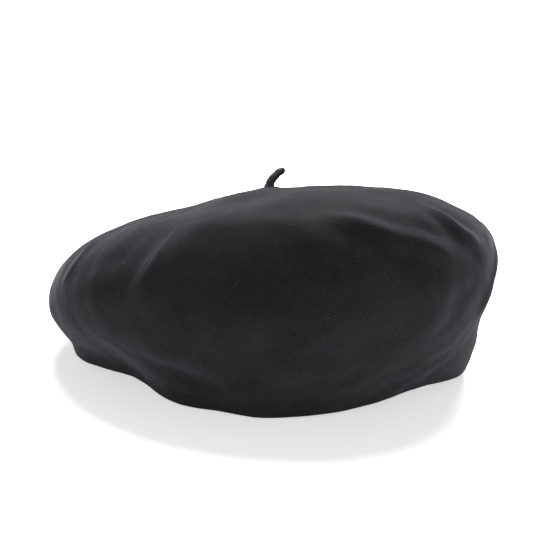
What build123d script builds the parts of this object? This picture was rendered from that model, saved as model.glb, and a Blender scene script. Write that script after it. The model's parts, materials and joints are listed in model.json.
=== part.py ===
"""Felted wool beret standing on its hem, lined, with a leather sweatband and a short stalk.

Units are millimetres.  +Z is up, -Y is the side that faces the viewer, +X is the viewer's right.
The origin is on the resting plane under the middle of the crown.  The crown is one felt skin: it is
described by a stack of oval rings from the hem to the stalk, and every layer inside it (lining,
shield) follows the same rings at a smaller size.  The crown flops to the back and to the left.
"""
import os
from collections import namedtuple
from math import cos, hypot, pi, sin

from build123d import *

os.makedirs("parts", exist_ok=True)

# ---------------------------------------------------------------- driving dimensions
FELT = 3.0  # thickness of the fulled wool
LINING = 0.6  # thickness of the satin with its soft backing
LINING_GAP = 0.3  # air between felt and lining

# one oval ring of the felt's outer surface, from the hem up
#   x, y, z       middle of the ring
#   half_w        half width, left to right
#   half_d        half depth, front to back
#   full          2 is an ellipse, less is more pointed, more is squarer
#   rise_r        how much the ring climbs per mm towards the right
#   rise_b        how much the ring climbs per mm towards the back
Ring = namedtuple("Ring", "x y z half_w half_d full rise_r rise_b")
RINGS = [
    Ring(1, 0, 0.0, 106, 84, 1.75, 0.00, 0.00),  # hem, flat on the table
    Ring(1, 0, 9.0, 109, 88, 1.80, 0.00, 0.00),  # top of the turned edge
    Ring(0, 0, 22.0, 114, 97, 1.90, 0.04, -0.03),  # underside of the overhang
    Ring(0.5, 0, 39.0, 119, 108, 2.00, 0.10, -0.11),  # widest line
    Ring(1, -1, 58.0, 117, 106, 2.10, 0.13, -0.19),
    Ring(3, -3, 75.5, 103, 90, 2.15, 0.14, -0.24),  # shoulder
    Ring(5, -4, 88.0, 81, 69, 2.10, 0.14, -0.26),
    Ring(4, -4, 95.0, 56, 47, 2.00, 0.13, -0.26),
    Ring(-1, -3, 97.5, 30, 26, 2.00, 0.11, -0.27),  # plateau
    Ring(-4, -2, 98.0, 8, 8, 2.00, 0.10, -0.27),  # flat spot that carries the stalk
]
RING_POINTS = 16  # points that carry each oval
RING_STEPS = 2  # loft sections from one ring above to the next

# stalk
STALK_PATH = [(0, 0, 0), (1.3, 0.5, 3.1), (3.4, 1.0, 6.7), (7.4, 1.4, 10.9)]  # middle line from its root
STALK_LEAVES = (0.35, 0.15, 1)  # direction at the root
STALK_ARRIVES = (1, 0.1, 0.75)  # direction at the tip
STALK_ROOT_R = 2.0
STALK_TIP_R = 1.7
ROOT_BALL_R = 2.2
ROOT_BALL_RISE = 1.2  # centre of the root ball above the felt
DIMPLE_R = 2.45
TACK_LENGTH = 3.6
TACK_SUNK = 0.1  # middle of the tack inside the felt

# sweatband
BAND_BOTTOM = 1.0
BAND_TOP = 31.0
BAND_THICK = 1.0
BAND_GAP = 0.2  # between the lining and the leather
BAND_INSET = FELT + LINING_GAP + LINING + BAND_GAP  # from the felt's outer surface at the hem
BUTT_GAP = 0.8  # between the two ends of the leather, at the back

# crown seam between the satin disc and the satin side strip
SEAM_RING = 6  # counted from the hem
SEAM_DROP = 4.0  # the seam runs this far under that ring
SEAM_GAP = 0.3

# thread
THREAD_R = 0.3
THREAD_LIFT = 0.2  # middle of a stitch above the surface it is pulled into
HEM_STITCHES = 130
HEM_STITCH_LENGTH = 3.0
HEM_STITCH_Z = 3.5
SEAM_STITCHES = 110
SEAM_STITCH_LENGTH = 3.2
BUTT_STITCHES = 12
BUTT_STITCH_LENGTH = 3.6
BUTT_MARGIN = 2.0  # between the zigzag and the leather's edges
SHIELD_STITCH_PITCH = 4.0
SHIELD_STITCH_LENGTH = 2.6
SHIELD_SEAM = 2.5  # from the shield's edge to its stitches

# sweat shield
SHIELD_CENTRE = (3.0, -4.0)
SHIELD_HALF_W = 62.0
SHIELD_HALF_D = 44.0
SHIELD_THICK = 0.35
SHIELD_CORNER = 9.0
SHIELD_GAP = 0.1  # between the lining and the film
SHIELD_RING = 4  # the film lies above this ring
RIM_REACH = 0.7  # its rim is farther out than this share of its half depth

# ribbon bow and labels
RIBBON = 0.8
BOW_Z = 19.0  # middle of the bow above the table
BOW_OFF = 3.1  # middle of the bow from the leather
BOW_LOOP = 13.0
BOW_DEEP = 4.4
BOW_WIDTH = 6.0
BOW_HOLE_SHIFT = 0.6  # the loops' holes sit this much farther out than the loops
BOW_KNOT = 4.0
KNOT_ROUND = 1.2
KNOT_SNUG = 1.0  # the knot presses the ribbon together by this much
KNOT_SLACK = 0.2
BOW_TAIL = 15.0
TAIL_WIDTH = 4.8
TAIL_SPREAD = 0.55  # how far each tail leans out per mm of drop
TAIL_DROP = 1.0  # the tails start this far below the middle of the bow
LABEL_THICK = 0.4
LABEL_GAP = 0.1  # between the label and the leather
LABEL_REACH = 12.0  # depth of the slab that cuts a label from its wall
LABEL_BOTTOM = 18.0
LABEL_STITCH_Z = 27.0
LABEL_STITCH_LENGTH = 2.4
SIZE_TAB_U = 0.94  # where the tab stands, as a fraction of the way around from the back
SIZE_TAB_WIDTH = 12.0
SIZE_TAB_TOP = 40.0
CARE_LABEL_U = 0.10
CARE_LABEL_WIDTH = 28.0
CARE_LABEL_TOP = 44.0

TALL = 200.0  # higher than the whole hat


# ---------------------------------------------------------------- shared geometry
def blended_ring(place):
    """Ring at a fractional place in the list, on a smooth curve through the neighbouring rings."""
    i = min(int(place), len(RINGS) - 2)
    f = place - i
    here, after = RINGS[i], RINGS[i + 1]
    before = RINGS[max(i - 1, 0)]
    beyond = RINGS[min(i + 2, len(RINGS) - 1)]
    values = []
    for p0, p1, p2, p3 in zip(before, here, after, beyond):
        leave = (p2 - p0) / 2
        arrive = (p3 - p1) / 2
        bend = 3 * (p2 - p1) - 2 * leave - arrive
        twist = 2 * (p1 - p2) + leave + arrive
        values.append(p1 + f * (leave + f * (bend + f * twist)))
    return Ring(*values)


SECTIONS = [blended_ring(k / RING_STEPS) for k in range(RING_STEPS * (len(RINGS) - 1) + 1)]
LAST = len(SECTIONS) - 1


def slope(i):
    """Outward and upward parts of the skin's normal at section i, seen in its profile."""
    low = SECTIONS[max(i - 1, 0)]
    high = SECTIONS[min(i + 1, LAST)]
    run = (low.half_w + low.half_d - high.half_w - high.half_d) / 2
    rise = high.z - low.z
    length = hypot(run, rise)
    return rise / length, run / length


def section_plane(i, inset):
    """Plane of section i of the skin that lies inset inside the felt's outer surface."""
    ring = SECTIONS[i]
    drop = 0.0 if i == 0 else inset * slope(i)[1]
    tilt = Vector(-ring.rise_r, -ring.rise_b, 1).normalized()
    centre = Vector(ring.x, ring.y, ring.z) - tilt * drop
    return Plane(origin=centre, x_dir=(1, 0, ring.rise_r), z_dir=tilt)


def oval_point(half_w, half_d, full, angle):
    """Point of a fuller or more pointed oval, angle in radians from +X."""
    c, s = cos(angle), sin(angle)
    power = 2 / full
    x = half_w * abs(c) ** power * (1 if c >= 0 else -1)
    y = half_d * abs(s) ** power * (1 if s >= 0 else -1)
    return x, y


def section_outline(i, inset):
    """Closed smooth outline of section i at this inset, in the coordinates of its own plane."""
    ring = SECTIONS[i]
    plane = section_plane(i, inset)
    shrink = {0: inset, LAST: 0.0}.get(i, inset * slope(i)[0])
    points = []
    for k in range(RING_POINTS):
        angle = 2 * pi * k / RING_POINTS
        x, y = oval_point(ring.half_w - shrink, ring.half_d - shrink, ring.full, angle)
        lift = ring.rise_r * x + ring.rise_b * y
        points.append(plane.to_local_coords(plane.origin + Vector(x, y, lift)))
    return closed_curve(points)


def closed_curve(points):
    """Closed smooth curve through points, which are spread evenly along its parameter."""
    knots = [k / len(points) for k in range(len(points) + 1)]
    return Edge.make_spline(points, periodic=True, parameters=knots)


def skin_solid(inset):
    """Solid that fills the skin at this inset, lofted from hem to stalk."""
    with BuildPart() as skin:
        for i in range(len(SECTIONS)):
            with BuildSketch(section_plane(i, inset)):
                with BuildLine():
                    add(section_outline(i, inset))
                make_face()
        loft()
    return skin.part


def hem_oval(inset, z):
    """Closed oval that lies inset inside the hem at height z, starting at the middle of the back."""
    hem = RINGS[0]
    points = []
    for k in range(RING_POINTS):
        angle = pi / 2 + 2 * pi * k / RING_POINTS
        x, y = oval_point(hem.half_w - inset, hem.half_d - inset, hem.full, angle)
        points.append(Vector(hem.x + x, hem.y + y, z))
    return closed_curve(points)


def oval_wall(inset, thickness, bottom, top):
    """Vertical oval wall whose outer face lies inset inside the hem."""
    with BuildPart() as wall:
        with BuildSketch(Plane.XY):
            with BuildLine():
                add(hem_oval(inset, 0))
            make_face()
            with BuildLine():
                add(hem_oval(inset + thickness, 0))
            make_face(mode=Mode.SUBTRACT)
        extrude(amount=top - bottom)
    return wall.part.moved(Location((0, 0, bottom)))


def thread_along(point, along, outward):
    """Frame of one stitch: X runs along the thread, Z points out of the cloth."""
    along = along.normalized()
    side = outward.cross(along).normalized()
    return Plane(origin=point, x_dir=along, z_dir=along.cross(side))


def thread(length):
    """One straight stitch with rounded ends, lying along X."""
    with BuildPart() as stitch:
        Cylinder(THREAD_R, length - 2 * THREAD_R, rotation=(0, 90, 0))
        for end in (-1, 1):
            with Locations((end * (length / 2 - THREAD_R), 0, 0)):
                Sphere(THREAD_R)
    return stitch.part


def band_spots(fractions, z):
    """Frames of stitches on the sweatband's inner face, each at a fraction of the way around."""
    line = hem_oval(BAND_INSET + BAND_THICK + THREAD_LIFT, z)
    up = Vector(0, 0, 1)
    return [thread_along(line @ u, line % u, (line % u).cross(up)) for u in fractions]


def is_upper_rim(edge):
    """True for an edge around the domed top of an upright diamond prism."""
    middle = edge @ 0.5
    reach = hypot(middle.X - SHIELD_CENTRE[0], middle.Y - SHIELD_CENTRE[1])
    return middle.Z > RINGS[SHIELD_RING].z and reach > RIM_REACH * SHIELD_HALF_D


def diamond(inner):
    """Vertical prism over the sweat shield's rounded diamond, inner mm inside its edge."""
    corners = [(SHIELD_HALF_W, 0), (0, SHIELD_HALF_D), (-SHIELD_HALF_W, 0), (0, -SHIELD_HALF_D)]
    with BuildPart() as prism:
        with BuildSketch(Plane.XY):
            with Locations(SHIELD_CENTRE):
                Polygon(*corners)
            fillet(vertices(), SHIELD_CORNER)
            if inner:
                offset(amount=-inner)
        extrude(amount=TALL)
    return prism.part


stalk_plane = section_plane(LAST, 0)
stalk_up = stalk_plane.z_dir
root_centre = stalk_plane.origin + stalk_up * ROOT_BALL_RISE

# ---------------------------------------------------------------- felt
# one skin from the hem to the stalk, open at the bottom
with BuildPart() as felt_shell:
    add(skin_solid(0))
    add(skin_solid(FELT), mode=Mode.SUBTRACT)
    with Locations(root_centre):
        Sphere(DIMPLE_R, mode=Mode.SUBTRACT)

# short curved stalk with a ball root that sits in the felt's dimple
with BuildPart() as stalk:
    path_points = [root_centre + Vector(*p) for p in STALK_PATH]
    with BuildLine() as stalk_path:
        Spline(*path_points, tangents=[STALK_LEAVES, STALK_ARRIVES], tangent_scalars=(1.0, 1.0))
    start = Plane(origin=stalk_path.line @ 0, z_dir=stalk_path.line % 0)
    end = Plane(origin=stalk_path.line @ 1, z_dir=stalk_path.line % 1)
    with BuildSketch(start):
        Circle(STALK_ROOT_R)
    with BuildSketch(end):
        Circle(STALK_TIP_R)
    sweep(path=stalk_path.line, multisection=True)
    with Locations(root_centre):
        Sphere(ROOT_BALL_R)
    with Locations(stalk_path.line @ 1):
        Sphere(STALK_TIP_R)

# two crossed thread bars under the crown, below the stalk's root
tack_depth = FELT - TACK_SUNK
with BuildPart() as stalk_tack:
    for turn in (45, 135):
        direction = stalk_plane.x_dir.rotate(Axis((0, 0, 0), stalk_up), turn)
        middle = stalk_plane.origin - stalk_up * tack_depth
        with Locations(thread_along(middle, direction, -stalk_up)):
            add(thread(TACK_LENGTH))

# ---------------------------------------------------------------- lining
seam_plane = section_plane(SEAM_RING * RING_STEPS, 0).offset(-SEAM_DROP)

# satin disc under the crown's top
with BuildPart() as lining_top:
    add(skin_solid(FELT + LINING_GAP))
    add(skin_solid(FELT + LINING_GAP + LINING), mode=Mode.SUBTRACT)
    split(bisect_by=seam_plane.offset(SEAM_GAP / 2), keep=Keep.TOP)

# satin side strip from the disc down behind the sweatband
with BuildPart() as lining_side:
    add(skin_solid(FELT + LINING_GAP))
    add(skin_solid(FELT + LINING_GAP + LINING), mode=Mode.SUBTRACT)
    split(bisect_by=seam_plane.offset(-SEAM_GAP / 2), keep=Keep.BOTTOM)
    split(bisect_by=Plane.XY.offset(BAND_BOTTOM), keep=Keep.TOP)

# overcast stitches across the seam between disc and strip
seam_rim = lining_top.edges().filter_by(seam_plane).sort_by(Edge.length)[0]
satin_inside = lining_top.faces().sort_by(Face.area)[-2]
spots = []
for k in range(SEAM_STITCHES):
    point = seam_rim @ (k / SEAM_STITCHES)
    outward = satin_inside.normal_at(point)
    across = (seam_rim % (k / SEAM_STITCHES)).cross(outward)
    spots.append(thread_along(point + outward * THREAD_LIFT, across, outward))
with BuildPart() as lining_seam_stitches:
    with Locations(*spots):
        add(thread(SEAM_STITCH_LENGTH))

# clear film sewn under the middle of the disc
shield_inset = FELT + LINING_GAP + LINING + SHIELD_GAP
with BuildPart() as sweat_shield:
    add(skin_solid(shield_inset))
    add(skin_solid(shield_inset + SHIELD_THICK), mode=Mode.SUBTRACT)
    add(diamond(0), mode=Mode.INTERSECT)

# row of stitches just inside the film's edge
stitch_bed = skin_solid(shield_inset + SHIELD_THICK) & diamond(SHIELD_SEAM)
down = Vector(0, 0, -1)
spots = []
for edge in stitch_bed.edges().filter_by(is_upper_rim):
    count = max(1, round(edge.length / SHIELD_STITCH_PITCH))
    for k in range(count):
        u = (k + 0.5) / count
        spots.append(thread_along(edge @ u + down * THREAD_LIFT, edge % u, down))
with BuildPart() as shield_stitches:
    with Locations(*spots):
        add(thread(SHIELD_STITCH_LENGTH))

# ---------------------------------------------------------------- sweatband
band_inside = BAND_INSET + BAND_THICK
band_back = hem_oval(band_inside, 0) @ 0  # middle of the back, on the band's inner face

# leather strip around the opening, its two ends meeting at the back
with BuildPart() as sweatband:
    add(oval_wall(BAND_INSET, BAND_THICK, BAND_BOTTOM, BAND_TOP))
    with Locations((band_back.X, band_back.Y, BAND_TOP / 2)):
        Box(BUTT_GAP, 10 * BAND_THICK, 2 * BAND_TOP, mode=Mode.SUBTRACT)

# running stitches that sew the strip to the hem
with BuildPart() as band_stitches:
    fractions = [(k + 0.5) / HEM_STITCHES for k in range(HEM_STITCHES)]
    with Locations(*band_spots(fractions, HEM_STITCH_Z)):
        add(thread(HEM_STITCH_LENGTH))

# zigzag stitches that draw the two ends of the strip together
butt_low = HEM_STITCH_Z + BUTT_MARGIN
butt_pitch = (BAND_TOP - BUTT_MARGIN - butt_low) / BUTT_STITCHES
forward = Vector(0, -1, 0)
spots = []
for k in range(BUTT_STITCHES):
    point = Vector(band_back.X, band_back.Y, butt_low + (k + 0.5) * butt_pitch)
    slant = Vector(BUTT_STITCH_LENGTH * (-1) ** k, 0, butt_pitch)
    spots.append(thread_along(point + forward * THREAD_LIFT, slant, forward))
with BuildPart() as butt_stitches:
    with Locations(*spots):
        add(thread(BUTT_STITCH_LENGTH))

# ---------------------------------------------------------------- bow over the butt seam
bow_y = band_back.Y - BOW_OFF

# one ribbon folded into two loops with two hanging tails
with BuildPart() as bow_ribbon:
    with BuildSketch(Plane.XY.offset(BOW_Z - BOW_WIDTH / 2)):
        for side in (-1, 1):
            with Locations((band_back.X + side * BOW_LOOP / 2, bow_y)):
                Ellipse(BOW_LOOP / 2 + RIBBON / 2, BOW_DEEP / 2)
        for side in (-1, 1):
            with Locations((band_back.X + side * (BOW_LOOP / 2 + BOW_HOLE_SHIFT), bow_y)):
                Ellipse(BOW_LOOP / 2 - RIBBON, BOW_DEEP / 2 - RIBBON, mode=Mode.SUBTRACT)
    extrude(amount=BOW_WIDTH)
    for side in (-1, 1):
        tail = Plane(
            origin=(band_back.X, bow_y, BOW_Z - TAIL_DROP),
            x_dir=(0, 1, 0),
            z_dir=(side * TAIL_SPREAD, 0, -1),
        )
        with BuildSketch(tail):
            Rectangle(RIBBON, TAIL_WIDTH)
        extrude(amount=BOW_TAIL)

# short band of the same ribbon wrapped around the middle
with BuildPart() as bow_knot:
    with Locations((band_back.X, bow_y, BOW_Z)):
        Box(BOW_KNOT, BOW_DEEP + RIBBON, BOW_WIDTH + 2 * RIBBON)
        fillet(edges().filter_by(Axis.X), KNOT_ROUND)
        Box(2 * BOW_KNOT, BOW_DEEP - KNOT_SNUG, BOW_WIDTH + KNOT_SLACK, mode=Mode.SUBTRACT)
    add(bow_ribbon.part, mode=Mode.SUBTRACT)

# ---------------------------------------------------------------- labels behind the sweatband
def label(centre_u, width, top):
    """Thin cloth label that follows the back of the sweatband and stands up above it."""
    line = hem_oval(BAND_INSET, 0)
    middle = line @ centre_u
    with BuildPart() as tag:
        add(oval_wall(BAND_INSET - LABEL_GAP - LABEL_THICK, LABEL_THICK, LABEL_BOTTOM, top))
        slab = Plane(origin=middle, x_dir=line % centre_u)
        with Locations(slab):
            Box(width, LABEL_REACH, 3 * top, mode=Mode.INTERSECT)
    return tag.part


with BuildPart() as size_tab:
    add(label(SIZE_TAB_U, SIZE_TAB_WIDTH, SIZE_TAB_TOP))

with BuildPart() as care_label:
    add(label(CARE_LABEL_U, CARE_LABEL_WIDTH, CARE_LABEL_TOP))

# three short stitches through the sweatband at each label
with BuildPart() as label_stitches:
    around = hem_oval(band_inside, 0).length
    fractions = []
    for centre, width in ((SIZE_TAB_U, SIZE_TAB_WIDTH), (CARE_LABEL_U, CARE_LABEL_WIDTH)):
        fractions += [centre + side * width / 3 / around for side in (-1, 0, 1)]
    with Locations(*band_spots(fractions, LABEL_STITCH_Z)):
        add(thread(LABEL_STITCH_LENGTH))

for piece, name in [
    (felt_shell, "felt_shell"),
    (stalk, "stalk"),
    (stalk_tack, "stalk_tack"),
    (lining_top, "lining_top"),
    (lining_side, "lining_side"),
    (lining_seam_stitches, "lining_seam_stitches"),
    (sweat_shield, "sweat_shield"),
    (shield_stitches, "shield_stitches"),
    (sweatband, "sweatband"),
    (band_stitches, "band_stitches"),
    (butt_stitches, "butt_stitches"),
    (bow_ribbon, "bow_ribbon"),
    (bow_knot, "bow_knot"),
    (size_tab, "size_tab"),
    (care_label, "care_label"),
    (label_stitches, "label_stitches"),
]:
    piece.part.label = name
    export_step(piece.part, f"parts/{name}.step")
    print(name, len(piece.part.solids()), round(piece.part.volume), piece.part.bounding_box(), flush=True)
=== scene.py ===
"""Looks for the beret: felt crown and stalk, satin lining, film shield, leather band, bow, labels, thread."""

import json
import math
from collections import namedtuple

import bmesh
import bpy
import numpy as np
from mathutils import Matrix, Vector
from mathutils.bvhtree import BVHTree


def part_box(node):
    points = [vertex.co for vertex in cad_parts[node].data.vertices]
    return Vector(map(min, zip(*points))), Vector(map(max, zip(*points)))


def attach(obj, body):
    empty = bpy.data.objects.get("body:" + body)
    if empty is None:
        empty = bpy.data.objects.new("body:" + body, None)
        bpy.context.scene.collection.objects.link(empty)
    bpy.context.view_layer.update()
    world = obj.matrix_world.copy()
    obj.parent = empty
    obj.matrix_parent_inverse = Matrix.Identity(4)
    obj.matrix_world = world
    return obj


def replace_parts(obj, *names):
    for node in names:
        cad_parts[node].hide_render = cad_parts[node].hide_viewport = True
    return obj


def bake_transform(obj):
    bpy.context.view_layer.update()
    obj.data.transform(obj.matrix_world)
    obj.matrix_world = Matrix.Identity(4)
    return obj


MM = 0.001
UP = Vector((0, 0, 1))
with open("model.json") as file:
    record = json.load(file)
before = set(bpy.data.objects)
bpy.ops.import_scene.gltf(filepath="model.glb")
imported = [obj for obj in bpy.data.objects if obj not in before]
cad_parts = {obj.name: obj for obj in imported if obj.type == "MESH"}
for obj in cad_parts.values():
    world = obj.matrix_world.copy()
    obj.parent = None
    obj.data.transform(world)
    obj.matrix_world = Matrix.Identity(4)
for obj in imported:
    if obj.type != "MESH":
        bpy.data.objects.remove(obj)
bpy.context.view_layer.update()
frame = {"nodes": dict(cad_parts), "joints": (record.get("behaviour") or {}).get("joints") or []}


# ---------------- the CAD skin as a smooth table
TURNS = 256  # samples around
STEPS = 128  # samples from the hem to the middle of the crown
RAYS_PER_STEP = 3
FAR = 0.4  # rays start this far out
SOFTEN_PASSES = 6
MIDDLE_FORWARD = 5 * MM  # how far in front of the crown's middle the rays meet
MIDDLE_HIGH = 0.36  # and how high, as a share of the crown's height
felt_low, felt_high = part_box("felt_shell")
MIDDLE = Vector(
    (
        (felt_low.x + felt_high.x) / 2,
        (felt_low.y + felt_high.y) / 2 - MIDDLE_FORWARD,
        MIDDLE_HIGH * felt_high.z,
    )
)
HEM_RAY = 0.4 * MM  # height at which the hem is looked for
ROOT = Vector(frame["joints"][0]["pos_m"])  # where the stalk leaves the crown


def unit(v):
    v = np.asarray(v, float)
    return v / np.maximum(np.linalg.norm(v, axis=-1, keepdims=True), 1e-12)


def run_of(points):
    """Distance along a line of points to each of them."""
    return np.concatenate([[0], np.cumsum(np.linalg.norm(np.diff(points, axis=0), axis=1))])


def evenly(points, count):
    """Points at even distances along a line of points."""
    run = run_of(points)
    at = np.linspace(0, run[-1], count)
    return np.stack([np.interp(at, run, points[:, k]) for k in range(3)], 1)


def tree_of(mesh):
    """Search tree over a mesh's faces."""
    return BVHTree.FromPolygons([v.co for v in mesh.vertices], [list(p.vertices) for p in mesh.polygons])


def soften(table):
    """Averages a table of points with their neighbours, around and up; the hem row stays."""
    for _ in range(SOFTEN_PASSES):
        around = 0.25 * (np.roll(table, 1, 0) + np.roll(table, -1, 0)) + 0.5 * table
        up = around.copy()
        up[:, 1:-1] = 0.25 * (around[:, :-2] + around[:, 2:]) + 0.5 * around[:, 1:-1]
        up[:, 0] = table[:, 0]
        up[:, -1] = around[:, -1].mean(0)
        table = up
    return table


def skin_table():
    """Points of the felt's outer surface, [turn, step]: step 0 on the hem, the last in the crown's middle."""
    tree = tree_of(frame["nodes"]["felt_shell"].data)
    table = np.zeros((TURNS, STEPS, 3))
    rays = RAYS_PER_STEP * STEPS
    for j in range(TURNS):
        angle = 2 * math.pi * j / TURNS
        out = Vector((math.cos(angle), math.sin(angle), 0))
        hem = tree.ray_cast(Vector((MIDDLE.x, MIDDLE.y, HEM_RAY)) + FAR * out, -out)[0]
        low = math.atan2(hem.z - MIDDLE.z, math.hypot(hem.x - MIDDLE.x, hem.y - MIDDLE.y))
        line = [Vector((hem.x, hem.y, 0.0))]
        for k in range(1, rays + 1):
            lift = low + (math.pi / 2 - low) * k / rays
            ray = out * math.cos(lift) + UP * math.sin(lift)
            line.append(tree.ray_cast(MIDDLE + FAR * ray, -ray)[0])
        table[j] = evenly(np.array(line), STEPS)
    return soften(table)


def table_normals(table):
    """Outward unit normals of the skin table."""
    around = np.roll(table, -1, 0) - np.roll(table, 1, 0)
    up = np.gradient(table, axis=1)
    normals = np.cross(around, up)
    normals[:, -1] = normals[:, -3].mean(0)
    normals[:, -2] = 0.5 * (normals[:, -3] + normals[:, -1])
    return unit(normals)


def cubic_weights(f):
    """Catmull-Rom weights of the four samples around a fraction."""
    return (
        0.5 * (-f + 2 * f**2 - f**3),
        0.5 * (2 - 5 * f**2 + 3 * f**3),
        0.5 * (f + 4 * f**2 - 3 * f**3),
        0.5 * (-(f**2) + f**3),
    )


def look_up(table, turn, step):
    """Smooth values of a table: turn in radians, step from 0 at the hem to 1 in the middle."""
    turns, steps = table.shape[:2]
    a = (np.asarray(turn) / (2 * np.pi) * turns) % turns
    b = np.clip(step, 0, 1) * (steps - 1)
    a0 = np.floor(a).astype(int)
    b0 = np.minimum(np.floor(b).astype(int), steps - 2)
    total = 0.0
    for i, wa in enumerate(cubic_weights(a - a0)):
        for k, wb in enumerate(cubic_weights(b - b0)):
            at = table[(a0 + i - 1) % turns, np.clip(b0 + k - 1, 0, steps - 1)]
            total = total + (wa * wb)[..., None] * at
    return total


SKIN = skin_table()
SKIN_NORMALS = table_normals(SKIN)

# ---------------- how the real felt differs from the CAD skin
# lift of the hem off the table and push towards the middle, in mm, by degrees around from +X
HEM_REST = [
    (-178, 2.0, -0.5), (-168, 2.9, -0.2), (-160, 3.8, 0), (-152, 5.2, 1.0), (-144, 7.3, 2.5), (-137, 4.3, 2.5),
    (-131, 1.4, 1.0), (-124, 0.2, 0), (-117, 0, 0), (-90, 0, 0), (-76, 0.1, 0.5), (-66, 0.7, 1.5),
    (-56, 1.5, 2.5), (-45, 2.8, 3), (-36, 5.1, 3.5), (-28, 7.4, 3), (-19, 6.7, 0.5), (-9, 4.4, -1.2),
    (4, 2.2, -1.8), (18, 0.7, -1.2), (40, 0, 0), (60, 0, 0), (150, 0, 0), (170, 1.0, -0.5),
]  # fmt: skip
HEM_BLUR = 4.0  # degrees
BLUR_SPAN = 20  # degrees to either side
LIFT_FADES = 46.0  # height in mm at which the hem's lift has died out

# a fold's crest runs through its points; it rises by height over about width, and next to it the felt dips
# by dip_left or dip_right, seen along the crest from outside, at dip_off from the crest; all in mm
Fold = namedtuple("Fold", "points height width dip_left dip_right dip_off dip_width")
FOLDS = [
    # shoulder pinch on the left
    Fold([(-43, -63, 89), (-49, -75, 83), (-54, -82, 77), (-60, -87, 69), (-65, -90, 56)], 2.2, 2.8, 0.3, 1.3, 8, 6),
    # far left pinch
    Fold([(-88, -34, 75), (-92, -38, 71), (-96, -45, 67), (-101, -50, 59), (-107, -47, 48)], 1.0, 3.0, 0, 0.4, 6, 5),
    # edge of the flat top, left and right
    Fold([(-50, -70, 89), (-37, -76, 94), (-17, -83, 98), (10, -86, 101), (30, -84, 103)], 1.5, 9.0, 0, 0, 15, 10),
    Fold(
        [(20, -79, 106), (35, -84, 104), (51, -86, 101), (61, -85, 99), (72, -81, 96), (82, -76, 91), (93, -69, 82)],
        2.0, 3.8, 1.5, 1.1, 8.5, 6,
    ),
    # upper right pinch
    Fold([(72, -54, 107), (86, -58, 101), (95, -56, 95), (105, -46, 87)], 1.8, 3.6, 1.2, 1.1, 7.5, 5),
    # fold over the right side, with the felt behind it drawn in
    Fold([(114, -18, 84), (116, -27, 74), (113, -36, 63), (110, -41, 56), (105, -46, 42)], 2.0, 3.4, 1.0, 0.3, 7, 6),
    # soft upright fold on the right
    Fold([(86, -76, 80), (84, -79, 71), (81, -81, 65), (80, -80, 57), (79, -78, 46)], 0.8, 9.0, 1.0, 0.2, 13, 8),
    # long low fold above the hem on the left
    Fold([(-74, -82, 41), (-58, -90, 41), (-45, -94, 39), (-33, -97, 36), (-10, -97, 27)], 1.3, 10.0, 0, 1.2, 15, 9),
    # faint slanting fold right of the middle
    Fold([(39, -95, 95), (45, -98, 89), (52, -98, 80)], 0.9, 6.0, 0, 0.4, 9, 7),
    # back and sides, out of sight of the front
    Fold([(-70, 52, 72), (-84, 58, 60), (-92, 60, 46)], 1.6, 6.0, 0.9, 0.4, 10, 8),
    Fold([(36, 74, 78), (46, 84, 66), (50, 90, 50)], 1.8, 6.0, 0.4, 1.1, 10, 8),
    Fold([(96, 36, 84), (106, 40, 70), (108, 46, 54)], 1.5, 5.0, 0.9, 0.4, 9, 7),
]  # fmt: skip
FOLD_ENDS = 0.28  # share of a fold's length over which each end dies out
CREST_ROUND = 0.22  # radius of a crest, as a share of its width

# soft swellings and sags in mm: place, reach along x y z, and displacement
Sag = namedtuple("Sag", "place reach move")
SAGS = [
    Sag((-48, -5, 91), (28, 55, 30), (0, 0, -4.6)),  # flat top, left of the stalk
    Sag((2, -80, 101), (56, 18, 16), (0, -1.0, 1.4)),  # front edge of the flat top
    Sag((56, -4, 104), (18, 24, 12), (0, 0, 1.1)),
    Sag((95, -12, 99), (14, 30, 14), (-1.0, 0, -1.6)),  # right shoulder
    Sag((114, -17, 38), (14, 26, 13), (-3.2, 0.6, 0)),  # right flank, drawn in
    Sag((116, -15, 84), (10, 24, 12), (1.0, 0, 0.5)),
    Sag((-115, -14, 47), (14, 24, 12), (0.1, 0, 0.6)),  # left flank
    Sag((-111, -18, 63), (9, 24, 10), (-1.0, 0, 0.7)),
    Sag((-108, -24, 22), (18, 34, 16), (-1.6, -0.5, 0)),
    Sag((21, -98, 32), (18, 10, 9), (0, -1.2, 0)),
    Sag((49, -97, 50), (16, 10, 12), (0.4, 1.6, 0)),
]
SAG_CLEAR = 13.0  # sags and folds fade out this near the stalk, in mm
PUCKER_HEIGHT = 1.3  # of the felt drawn up around the stalk's root, in mm
PUCKER_REACH = 4.6
SOFT_FOLDS = 0.35  # share of the felt's folds that the layers inside follow

# gentle unevenness of the fulled wool: size of a wave and its height in mm, and a seed
UNEVEN = [(46.0, 0.50, 5), (17.0, 0.10, 6), (6.0, 0.025, 7)]
WAVES = 14  # that add up to one size of unevenness


def degrees_curve(pairs, turn):
    """Smooth closed curve through (degrees, value) pairs, read at turn radians."""
    places, values = zip(*pairs)
    line = np.interp(np.arange(360), places, values, period=360)
    offsets = np.arange(-BLUR_SPAN, BLUR_SPAN + 1)
    weights = np.exp(-((offsets / HEM_BLUR) ** 2) / 2)
    line = sum(w * np.roll(line, k) for k, w in zip(offsets, weights)) / weights.sum()
    return np.interp(np.degrees(turn) % 360, np.arange(361), np.append(line, line[0]))


def smooth_step(x):
    x = np.clip(x, 0, 1)
    return x * x * (3 - 2 * x)


def rounder(points):
    """Chaikin's corner cutting, twice."""
    for _ in range(2):
        cut = [points[0]]
        for a, b in zip(points, points[1:]):
            cut += [0.75 * a + 0.25 * b, 0.25 * a + 0.75 * b]
        points = cut + [points[-1]]
    return points


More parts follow.
